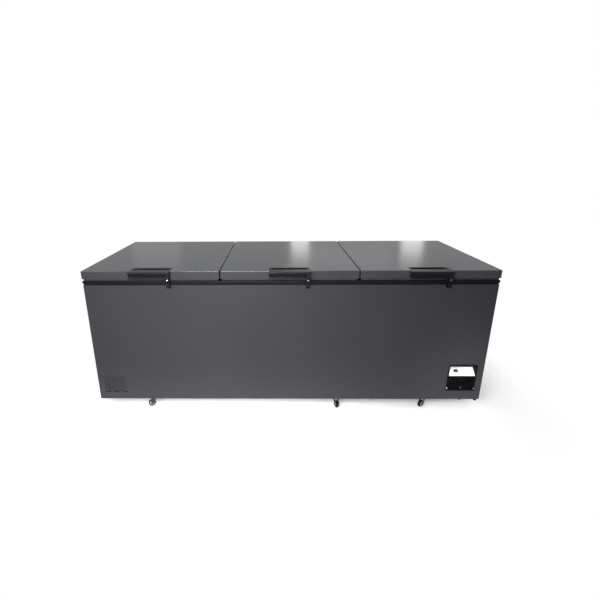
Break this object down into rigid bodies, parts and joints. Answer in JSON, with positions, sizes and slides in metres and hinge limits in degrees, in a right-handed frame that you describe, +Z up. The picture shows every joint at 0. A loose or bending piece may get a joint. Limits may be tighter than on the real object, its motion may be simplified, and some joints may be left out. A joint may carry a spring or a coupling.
{
  "type": "chest freezer",
  "caption": "Long low chest freezer with rear-hinged lids, moulded front grips with locks, a lower-corner control module and swivel casters.",
  "frame": {"origin": "on the floor, under the middle of the overall box", "axes": "+Z up, +X along the length to the end with the control module, -Y to the front"},
  "size_m": [2.4, 1.01, 0.916],
  "materials": {
    "body_paint": "satin dark grey powder coat",
    "lid_paint": "semi-gloss dark grey coat",
    "black_plastic": "moulded, light grain",
    "white_plastic": "smooth white",
    "button_grey": "pale grey keycap",
    "liner_metal": "embossed, coated",
    "foam": "closed-cell polyurethane foam",
    "seal_rubber": "soft matte seal",
    "zinc_steel": "galvanised sheet",
    "hinge_steel": "zinc plated",
    "chrome": "polished",
    "compressor_black": "black enamel",
    "fork_black": "black coated pressing",
    "caster_tyre": "dark tread with a pale grey hub"
  },
  "bodies": {
    "root": {"cabinet_shell": "body_paint", "base_pan": "zinc_steel", "inner_liner": "liner_metal", "cabinet_foam": "foam", "vent_box": "black_plastic", "rim_frame": "black_plastic", "control_housing": "black_plastic", "control_panel": "white_plastic", "front_grille": "black_plastic", "fan_bracket": "zinc_steel", "compressor": "compressor_black", "machine_cover": "body_paint", "cable_gland": "black_plastic", "drain_cap": "black_plastic", "lock_catch_1": "black_plastic", "hinge_base_1_left": "hinge_steel", "hinge_base_1_right": "hinge_steel", "lock_catch_2": "black_plastic", "hinge_base_2_left": "hinge_steel", "hinge_base_2_right": "hinge_steel", "lock_catch_3": "black_plastic", "hinge_base_3_left": "hinge_steel", "hinge_base_3_right": "hinge_steel"},
    "fan": {"fan_blade": "black_plastic"},
    "button_1": {"button_1": "button_grey"},
    "button_2": {"button_2": "button_grey"},
    "button_3": {"button_3": "button_grey"},
    "lid_1": {"lid_skin_1": "lid_paint", "lid_tray_1": "white_plastic", "lid_gasket_1": "seal_rubber", "lid_handle_1": "black_plastic", "hinge_leaf_1_left": "hinge_steel", "hinge_leaf_1_right": "hinge_steel"},
    "lock_1": {"lock_barrel_1": "chrome"},
    "lid_2": {"lid_skin_2": "lid_paint", "lid_tray_2": "white_plastic", "lid_gasket_2": "seal_rubber", "lid_handle_2": "black_plastic", "hinge_leaf_2_left": "hinge_steel", "hinge_leaf_2_right": "hinge_steel"},
    "lock_2": {"lock_barrel_2": "chrome"},
    "lid_3": {"lid_skin_3": "lid_paint", "lid_tray_3": "white_plastic", "lid_gasket_3": "seal_rubber", "lid_handle_3": "black_plastic", "hinge_leaf_3_left": "hinge_steel", "hinge_leaf_3_right": "hinge_steel"},
    "lock_3": {"lock_barrel_3": "chrome"},
    "fork_1": {"caster_fork_1": "fork_black"},
    "wheel_1": {"caster_wheel_1": "caster_tyre"},
    "fork_2": {"caster_fork_2": "fork_black"},
    "wheel_2": {"caster_wheel_2": "caster_tyre"},
    "fork_3": {"caster_fork_3": "fork_black"},
    "wheel_3": {"caster_wheel_3": "caster_tyre"},
    "fork_4": {"caster_fork_4": "fork_black"},
    "wheel_4": {"caster_wheel_4": "caster_tyre"},
    "fork_5": {"caster_fork_5": "fork_black"},
    "wheel_5": {"caster_wheel_5": "caster_tyre"},
    "fork_6": {"caster_fork_6": "fork_black"},
    "wheel_6": {"caster_wheel_6": "caster_tyre"}
  },
  "joints": [
    {"name": "fan_spin", "type": "hinge", "parent": "root", "child": "fan", "pos_m": [1.067, -0.345, 0.2], "axis": [0, 1, 0], "continuous": true},
    {"name": "button_1_press", "type": "slide", "parent": "root", "child": "button_1", "axis": [0, 0.6428, -0.766], "range_m": [0, 0.001], "stiffness_N_per_m": 300},
    {"name": "button_2_press", "type": "slide", "parent": "root", "child": "button_2", "axis": [0, 0.6428, -0.766], "range_m": [0, 0.001], "stiffness_N_per_m": 300},
    {"name": "button_3_press", "type": "slide", "parent": "root", "child": "button_3", "axis": [0, 0.6428, -0.766], "range_m": [0, 0.001], "stiffness_N_per_m": 300},
    {"name": "lid_1_hinge", "type": "hinge", "parent": "root", "child": "lid_1", "pos_m": [-0.80167, 0.496, 0.893], "axis": [-1, 0, 0], "range_deg": [0, 85]},
    {"name": "lock_1_turn", "type": "hinge", "parent": "lid_1", "child": "lock_1", "pos_m": [-0.69767, -0.495, 0.8675], "axis": [0, -1, 0], "range_deg": [0, 90]},
    {"name": "lid_2_hinge", "type": "hinge", "parent": "root", "child": "lid_2", "pos_m": [0, 0.496, 0.893], "axis": [-1, 0, 0], "range_deg": [0, 85]},
    {"name": "lock_2_turn", "type": "hinge", "parent": "lid_2", "child": "lock_2", "pos_m": [0.104, -0.495, 0.8675], "axis": [0, -1, 0], "range_deg": [0, 90]},
    {"name": "lid_3_hinge", "type": "hinge", "parent": "root", "child": "lid_3", "pos_m": [0.80167, 0.496, 0.893], "axis": [-1, 0, 0], "range_deg": [0, 85]},
    {"name": "lock_3_turn", "type": "hinge", "parent": "lid_3", "child": "lock_3", "pos_m": [0.90567, -0.495, 0.8675], "axis": [0, -1, 0], "range_deg": [0, 90]},
    {"name": "caster_1_swivel", "type": "hinge", "parent": "root", "child": "fork_1", "pos_m": [-0.87, -0.418, 0.07], "axis": [0, 0, 1], "continuous": true},
    {"name": "caster_1_roll", "type": "hinge", "parent": "fork_1", "child": "wheel_1", "pos_m": [-0.88854, -0.42549, 0.022], "axis": [-0.3746, 0.9272, 0], "continuous": true},
    {"name": "caster_2_swivel", "type": "hinge", "parent": "root", "child": "fork_2", "pos_m": [0.307, -0.418, 0.07], "axis": [0, 0, 1], "continuous": true},
    {"name": "caster_2_roll", "type": "hinge", "parent": "fork_2", "child": "wheel_2", "pos_m": [0.30978, -0.43781, 0.022], "axis": [-0.9903, -0.1392, 0], "continuous": true},
    {"name": "caster_3_swivel", "type": "hinge", "parent": "root", "child": "fork_3", "pos_m": [0.87, -0.418, 0.07], "axis": [0, 0, 1], "continuous": true},
    {"name": "caster_3_roll", "type": "hinge", "parent": "fork_3", "child": "wheel_3", "pos_m": [0.85342, -0.42918, 0.022], "axis": [-0.5592, 0.829, 0], "continuous": true},
    {"name": "caster_4_swivel", "type": "hinge", "parent": "root", "child": "fork_4", "pos_m": [-0.87, 0.418, 0.07], "axis": [0, 0, 1], "continuous": true},
    {"name": "caster_4_roll", "type": "hinge", "parent": "fork_4", "child": "wheel_4", "pos_m": [-0.85121, 0.42484, 0.022], "axis": [0.342, -0.9397, 0], "continuous": true},
    {"name": "caster_5_swivel", "type": "hinge", "parent": "root", "child": "fork_5", "pos_m": [0.307, 0.418, 0.07], "axis": [0, 0, 1], "continuous": true},
    {"name": "caster_5_roll", "type": "hinge", "parent": "fork_5", "child": "wheel_5", "pos_m": [0.28768, 0.41282, 0.022], "axis": [-0.2588, 0.9659, 0], "continuous": true},
    {"name": "caster_6_swivel", "type": "hinge", "parent": "root", "child": "fork_6", "pos_m": [0.87, 0.418, 0.07], "axis": [0, 0, 1], "continuous": true},
    {"name": "caster_6_roll", "type": "hinge", "parent": "fork_6", "child": "wheel_6", "pos_m": [0.85468, 0.43086, 0.022], "axis": [0.6428, 0.766, 0], "continuous": true}
  ]
}
